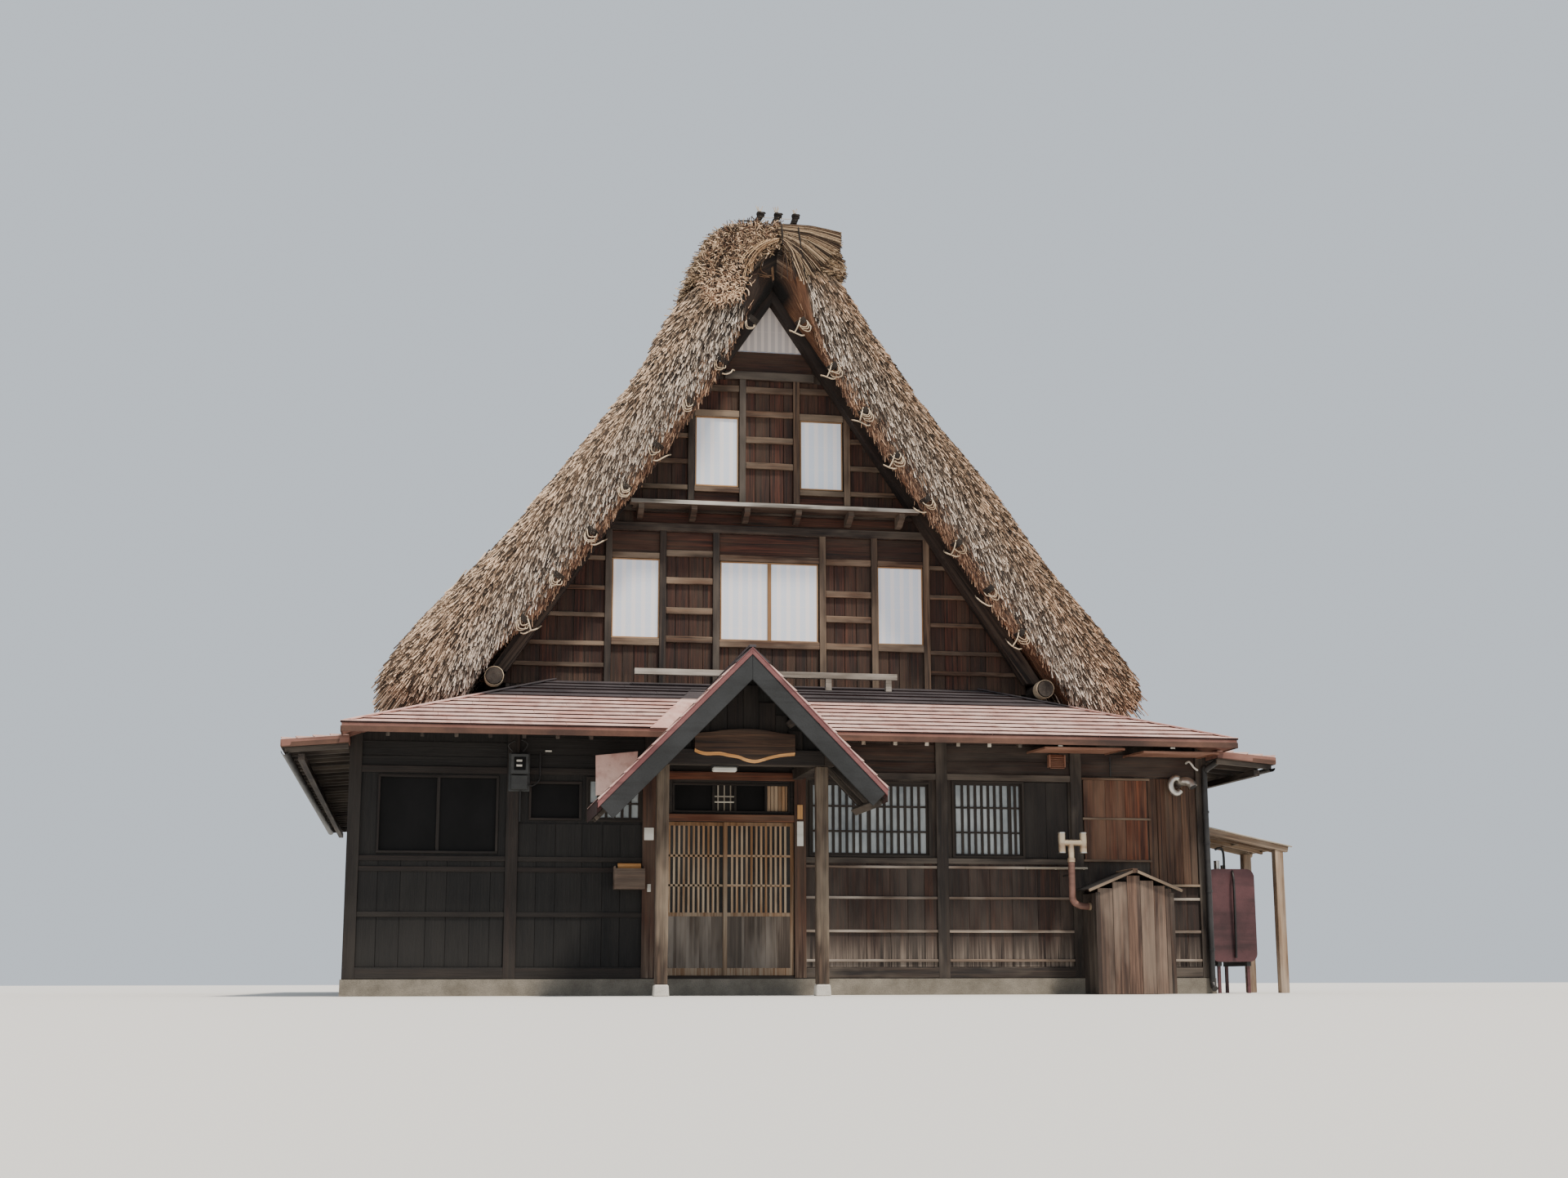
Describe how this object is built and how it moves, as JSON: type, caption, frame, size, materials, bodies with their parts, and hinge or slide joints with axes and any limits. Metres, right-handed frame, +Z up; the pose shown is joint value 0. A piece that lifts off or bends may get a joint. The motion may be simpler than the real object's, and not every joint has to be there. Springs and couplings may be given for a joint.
{
  "type": "minka farmhouse",
  "caption": "Steep thatched gable-fronted minka farmhouse with boarded walls, metal eave roofs, a gabled porch and sliding entrance doors.",
  "frame": {"origin": "on the ground under the front wall, on the gable's centre line, in the plane of the front wall's posts", "axes": "+Z up, +Y from the front wall into the house, +X to the right as seen from the front"},
  "size_m": [13.46, 15.94, 10.95],
  "materials": {
    "stone": "rough cut stone",
    "floor_boards": "worn boards",
    "dark_boards": "smoke-dark weathered boards",
    "red_boards": "red-brown weathered boards",
    "aged_timber": "grey weathered timber",
    "window_glass": "dark glass behind bars",
    "shoji_paper": "matt translucent paper screens",
    "door_wood": "golden oiled timber",
    "thatch": "weathered reed thatch",
    "ridge_straw": "straw",
    "roof_metal": "faded red-brown paint on folded metal courses",
    "name_board_wood": "dark live-edge board",
    "flue_steel": "heat-stained steel",
    "cabinet_boards": "weathered boards",
    "tank_paint": "dull maroon paint"
  },
  "bodies": {
    "house": {"attic_floor": "floor_boards", "back_wall": "dark_boards", "back_windows": "window_glass", "door_lintel": "dark_boards", "door_threshold": "aged_timber", "eave_log_left": "aged_timber", "eave_log_right": "aged_timber", "flue_pipe": "flue_steel", "foundation": "stone", "front_wall_left": "dark_boards", "front_wall_over_door": "dark_boards", "front_wall_right": "dark_boards", "front_windows_left": "window_glass", "front_windows_right": "window_glass", "gable_ledge_back": "aged_timber", "gable_ledge_front": "aged_timber", "gable_rail": "aged_timber", "gable_wall_back": "red_boards", "gable_wall_front": "red_boards", "gas_cabinet": "cabinet_boards", "ground_floor": "floor_boards", "lean_to": "aged_timber", "left_wall": "dark_boards", "left_windows": "window_glass", "name_board": "name_board_wood", "oil_tank": "tank_paint", "pent_roof_back": "roof_metal", "pent_roof_front_left": "roof_metal", "pent_roof_front_right": "roof_metal", "pent_roof_left": "roof_metal", "pent_roof_right": "roof_metal", "porch_barge_left": "dark_boards", "porch_barge_right": "dark_boards", "porch_beams": "aged_timber", "porch_gable": "dark_boards", "porch_post_left": "aged_timber", "porch_post_right": "aged_timber", "porch_roof_left": "roof_metal", "porch_roof_right": "roof_metal", "rafter_back_left": "aged_timber", "rafter_back_right": "aged_timber", "rafter_front_left": "aged_timber", "rafter_front_right": "aged_timber", "ridge_cap": "ridge_straw", "right_wall": "dark_boards", "right_windows": "window_glass", "shoji_back_lower": "shoji_paper", "shoji_back_upper": "shoji_paper", "shoji_front_lower": "shoji_paper", "shoji_front_upper": "shoji_paper", "side_roof_left": "roof_metal", "side_roof_right": "roof_metal", "thatch_left": "thatch", "thatch_right": "thatch", "transom_window": "window_glass", "upper_floor": "floor_boards"},
    "door_left": {"door_left": "door_wood"},
    "door_right": {"door_right": "door_wood"}
  },
  "joints": [
    {"name": "door_left_slide", "type": "slide", "parent": "house", "child": "door_left", "axis": [1, 0, 0], "range_m": [0, 0.79]},
    {"name": "door_right_slide", "type": "slide", "parent": "house", "child": "door_right", "axis": [1, 0, 0], "range_m": [-0.79, 0]}
  ]
}
